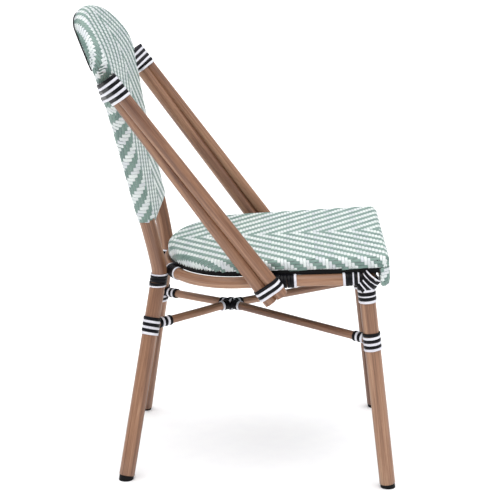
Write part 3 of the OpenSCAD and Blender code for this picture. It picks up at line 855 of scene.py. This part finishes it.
def wind(builder, start, axis, rounds_at, colours, wobble=0.018):
    """Turns side by side from start along axis. rounds_at(point) lists the rods there."""
    s = 0.0
    for c in colours:
        point = start + unit(axis) * (s + CORD_WIDTH[c] / 2)
        band(builder, point, axis, rounds_at(point), CORD_WIDTH[c], c, wobble)
        s += CORD_WIDTH[c] * CLOSE
    return s


def rod(a, b, r):
    """The rod through a and b, as a list of one centre and radius beside a point."""
    d = unit(b - a)
    return lambda p: [(a + d * np.dot(p - a, d), r)]


def cut_by(path, point, axis, near):
    """Where a curve crosses a plane, at the crossing nearest to a given point."""
    h = (path - point) @ unit(axis)
    k = np.flatnonzero(np.sign(h[1:]) != np.sign(h[:-1]))
    if len(k) == 0:
        return None
    spots = path[k] + (path[k + 1] - path[k]) * (h[k] / (h[k] - h[k + 1]))[:, None]
    return spots[np.linalg.norm(spots - near, axis=1).argmin()]


def wrap_piece(builder, name, node):
    builder.piece(name, [CORD_BLACK, CORD_WHITE], "cord", [node])


def on_side(s):
    """Mirrors a left-hand point for s = -1, and names the side."""
    return np.array([s, 1.0, 1.0]), "left" if s > 0 else "right"


def stay_pair(s):
    """One side's two stays: the rods, the middles of their low and high ends, and the way down."""
    m, _ = on_side(s)
    rear, front = STAY_REAR * m, STAY_FRONT * m
    rods = [rod(rear[0], rear[1], STAY_R), rod(front[0], front[1], STAY_R)]
    low, high = (rear + front) / 2
    return (lambda p: [r(p)[0] for r in rods]), low, high, unit(rear[0] - rear[1])


RAIL_FORWARD = seat_turn(np.array([0.0, -1.0, 0.0]))


def rail_side(s):
    """The seat rail's straight side, as a rod beside a point."""
    spread = (RAIL_FRONT_X - RAIL_REAR_X) / (RAIL_FRONT_Y + SEAT_MID_Y)

    def beside(p):
        x = s * (RAIL_REAR_X + spread * (SEAT_MID_Y - p[1]))
        return [(seat_place(np.array([x, p[1], 0.0])), RAIL_R)]
    return beside


def wind_rail(builder, s, start_y, colours):
    """Turns on the rail's straight side, forwards from a place along it."""
    rail = rail_side(s)
    start = rail(np.array([0.0, start_y, 0.0]))[0][0]
    wind(builder, start, RAIL_FORWARD, rail, colours)


# The first turns of the upper wrap take in the hoop, where it passes within this distance
HOOP_REACH = 75
WRAPPED_HOOP_R = MAIN_R + 3.2


def upper_wrap(s):
    """Stays to hoop. The last turns bind only the two stays."""
    m, side = on_side(s)
    pair, _, high, down = stay_pair(s)
    rear_top = STAY_REAR[1] * m

    def with_hoop(p):
        spot = cut_by(hoop_curve, p, down, rear_top)
        if spot is None or np.linalg.norm(spot - rear_top) > HOOP_REACH:
            return pair(p)
        return pair(p) + [(spot, WRAPPED_HOOP_R)]

    b = Builder()
    start = high - down * 1.5
    run = wind(b, start, down, with_hoop, "bwbwbw", wobble=0.006)
    wind(b, start + down * run, down, pair, "bw")
    wrap_piece(b, f"upper_wrap_{side}", f"upper_lashing_{side}")


def lower_wrap(s):
    """Stays to seat rail: turns round the stays, and turns on the rail in front of them."""
    _, side = on_side(s)
    pair, low, _, down = stay_pair(s)
    b = Builder()
    wind(b, low - down * 36.0, down, pair, "bwbw")
    wind_rail(b, s, -68.0, "bbbbbbbw")
    wrap_piece(b, f"lower_wrap_{side}", f"lower_lashing_{side}")


# Half width of the rail's bend at the first turn of the rear wrap
REAR_WRAP_X = 88


def rear_wrap(s):
    """Rear leg to seat rail: turns down the upright, and turns round the rail's bend."""
    m, side = on_side(s)
    bend_low, bend_high = HOOP_HALF[1] * m, HOOP_HALF[2] * m
    leg = rod(rear_leg_at(300) * m, bend_low, MAIN_R)

    def upright(p):
        if p[2] > bend_low[2]:
            return [(cut_by(hoop_curve, p, UPWARD, bend_high), MAIN_R)]
        return leg(p)

    b = Builder()
    wind(b, mix(bend_low, bend_high, 0.95), np.array([0.0, 0.02, -1.0]), upright, "nbbbn")
    bend = rail_path[(rail_path[:, 0] * s > 0) & (rail_path[:, 1] > 0)]
    bend = bend[np.argsort(bend[:, 0] * s)]
    bend_s = lengths(bend)
    at = np.interp(REAR_WRAP_X, bend[:, 0] * s, bend_s)
    for c in "wbbbbbw":
        before, after = (np.array([np.interp(at + e, bend_s, bend[:, k]) for k in range(3)])
                         for e in (-2, 2))
        middle = (before + after) / 2
        band(b, middle, after - before, [(middle, RAIL_R)], CORD_WIDTH[c], c)
        at += CORD_WIDTH[c]
    wrap_piece(b, f"rear_wrap_{side}", f"rear_lashing_{side}")


# The slanting turns over the corner, which stand along this direction from a middle one
SLANT = np.array([0.0, -1.0, 1.0])
SLANT_TURNS, SLANT_STEP = "bwbwbwbw", 3.2


def corner_wrap(s):
    """Front leg to the seat rail's corner: turns on the rail and the leg, and slanting turns."""
    m, side = on_side(s)
    corner = seat_place(np.array([s * (RAIL_FRONT_X - 3), -250.0, 0.0]))
    top, down = LEG_TOP * m, unit(FOOT_FRONT - LEG_TOP) * m
    b = Builder()
    wind_rail(b, s, -204.0, "wbbnbnb")
    wind(b, top + down * 1.5, down, rod(top, FOOT_FRONT * m, MAIN_R), "bwbnbw")
    hub = corner + down * 7
    half = (len(SLANT_TURNS) - 1) / 2
    for k, c in enumerate(SLANT_TURNS):
        from_middle = k - half
        fan = SLANT + np.array([0.0, 0.25 * from_middle / half, 0.0])
        r = MAIN_R + 2.4 - 0.5 * abs(from_middle)
        width = CORD_WIDTH["n" if c == "w" else c]
        band(b, hub + SLANT * from_middle * SLANT_STEP, fan, [(hub, r)], width, c, wobble=0.04)
    wrap_piece(b, f"corner_wrap_{side}", f"corner_lashing_{side}")


def leg_wrap(s, end, at_leg, z, arm_colours):
    """Stretcher to leg: turns round the leg, and turns on the stretcher's arm."""
    m, side = on_side(s)
    low, high, joint = (at_leg(h) * m for h in (0.0, 300.0, z))
    down, out = unit(low - high), unit(CROSSING - joint)
    b = Builder()
    wind(b, joint - down * 16, down, rod(low, high, MAIN_R), "bwbwbw")
    wind(b, joint + out * 17.5, out, rod(joint, CROSSING, STRETCHER_R), arm_colours)
    wrap_piece(b, f"leg_wrap_{end}_{side}", f"leg_lashing_{end}_{side}")


def centre_wrap():
    """The stretchers' crossing: turns on each arm, and turns over the middle in five directions."""
    b = Builder()
    for end, colours in ((rear_left, "bwb"), (rear_right, "bbw"),
                         (front_left, "bwb"), (front_right, "bbw")):
        out = unit(end - CROSSING)
        wind(b, CROSSING + out * 8.0, out, rod(CROSSING, end, STRETCHER_R), colours)
    for k, c in enumerate("bwbwb"):
        turn = math.radians(36 * k + 20)
        axis = np.array([math.cos(turn), math.sin(turn), 0.35])
        r = STRETCHER_R + 2.2 + 0.25 * k
        band(b, CROSSING, axis, [(CROSSING, r)], CORD_WIDTH[c], c, wobble=0.05)
    wrap_piece(b, "centre_wrap", "centre_lashing")


for s in (1, -1):
    upper_wrap(s)
    lower_wrap(s)
    rear_wrap(s)
    corner_wrap(s)
    leg_wrap(s, "rear", rear_leg_at, REAR_STRETCHER_Z, "bwbwb")
    leg_wrap(s, "front", front_leg_at, FRONT_STRETCHER_Z, "wbwb")
centre_wrap()

# ---- floor, light and camera ----

FLOOR_HALF = 30.0
HORIZON, ZENITH = (0.18, 0.18, 0.24, 1), (2.1, 2.1, 2.07, 1)
CAMERA_AT, CAMERA_AIM = (-2.9189, -0.0929, 1.1304), (0.97066, 0.02221, -0.23944)
SUN_AIM = (0.25, 0.12, -1.0)


def aimed(name, data, direction):
    """A camera or a light that looks along a direction."""
    thing = bpy.data.objects.new(name, data)
    thing.rotation_mode = "QUATERNION"
    thing.rotation_quaternion = Vector(direction).to_track_quat("-Z", "Y")
    bpy.context.scene.collection.objects.link(thing)
    return thing


floor_mesh = bpy.data.meshes.new("floor")
corners = ((-1, -1, 0), (1, -1, 0), (1, 1, 0), (-1, 1, 0))
floor_mesh.from_pydata([Vector(c) * FLOOR_HALF for c in corners], [], [(0, 1, 2, 3)])
floor_mesh.materials.append(FLOOR)
floor = bpy.data.objects.new("floor", floor_mesh)
bpy.context.scene.collection.objects.link(floor)

# A soft box of light: the sky is dark at the horizon and bright overhead
world = bpy.data.worlds.new("studio")
bpy.context.scene.world = world
world.use_nodes = True
sky = world.node_tree
split = sky.nodes.new("ShaderNodeSeparateXYZ")
fade = sky.nodes.new("ShaderNodeValToRGB")
for element, at, colour in zip(fade.color_ramp.elements, (0.25, 0.92), (HORIZON, ZENITH)):
    element.position, element.color = at, colour
sky.links.new(sky.nodes.new("ShaderNodeTexCoord").outputs["Generated"], split.inputs[0])
sky.links.new(split.outputs["Z"], fade.inputs[0])
sky.links.new(fade.outputs[0], sky.nodes["Background"].inputs["Color"])
sky.nodes["Background"].inputs["Strength"].default_value = 1.0

sun_data = bpy.data.lights.new("overhead", "SUN")
sun_data.energy, sun_data.angle = 1.0, math.radians(80)
aimed("overhead", sun_data, SUN_AIM)

camera_data = bpy.data.cameras.new("camera")
camera_data.lens, camera_data.sensor_width = 108.0, 36.0
camera = aimed("camera", camera_data, CAMERA_AIM)
camera.location = CAMERA_AT
bpy.context.scene.camera = camera
bpy.context.scene.view_settings.view_transform = "Standard"
